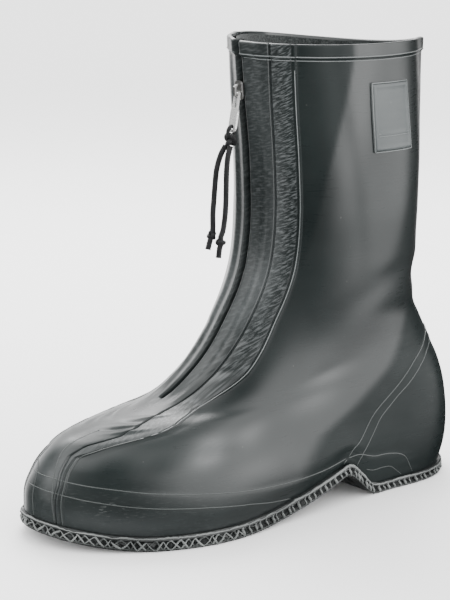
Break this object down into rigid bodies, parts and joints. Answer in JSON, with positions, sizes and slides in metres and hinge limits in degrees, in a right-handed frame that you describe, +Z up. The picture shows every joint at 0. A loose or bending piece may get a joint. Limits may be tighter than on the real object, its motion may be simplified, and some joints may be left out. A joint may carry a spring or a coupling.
{
  "type": "rubber overshoe",
  "caption": "Ankle-high black rubber overshoe with a front zip, a cord-pulled zip tab, ribbed placket strips, a moulded ribbed sole and an open collar.",
  "frame": {"origin": "on the floor under the middle of the heel seat, at a crossing of two tread ribs", "axes": "+Z up from the floor; -Y towards the toe and +Y towards the heel; +X towards the foot's outer side (left shoe)"},
  "size_m": [0.1174, 0.3049, 0.2756],
  "materials": {
    "trim_rubber": "semi-gloss black rubber",
    "cord": "black braided cord",
    "insole_cloth": "dark speckled cloth",
    "label_rubber": "satin grey rubber",
    "sole_rubber": "satin black rubber, dusty in the tread",
    "placket_rubber": "satin rubber with a wrinkled grain beside the smooth flap",
    "upper_rubber": "semi-gloss black rubber with a green-grey tint and fine brushed streaks",
    "zip_metal": "darkened metal teeth",
    "pull_metal": "polished nickel with scratches",
    "slider_metal": "dull nickel",
    "zip_tape": "black woven tape"
  },
  "bodies": {
    "boot": {"collar_binding": "trim_rubber", "foxing_inner": "trim_rubber", "foxing_outer": "trim_rubber", "heel_counter": "trim_rubber", "insole": "insole_cloth", "label_patch": "label_rubber", "outsole": "sole_rubber", "placket_inner": "placket_rubber", "placket_outer": "placket_rubber", "toe_strip": "placket_rubber", "upper": "upper_rubber", "zip_chain": "zip_metal", "zip_slider": "slider_metal", "zip_tape_inner": "zip_tape", "zip_tape_outer": "zip_tape"},
    "pull": {"cord_tail_inner": "cord", "cord_tail_outer": "cord", "pull_knot": "cord", "zip_pull": "pull_metal"}
  },
  "joints": [
    {"name": "pull_hinge", "type": "hinge", "parent": "boot", "child": "pull", "pos_m": [0, -0.11784, 0.24392], "axis": [-1, 0, 0], "range_deg": [-4, 140]}
  ]
}
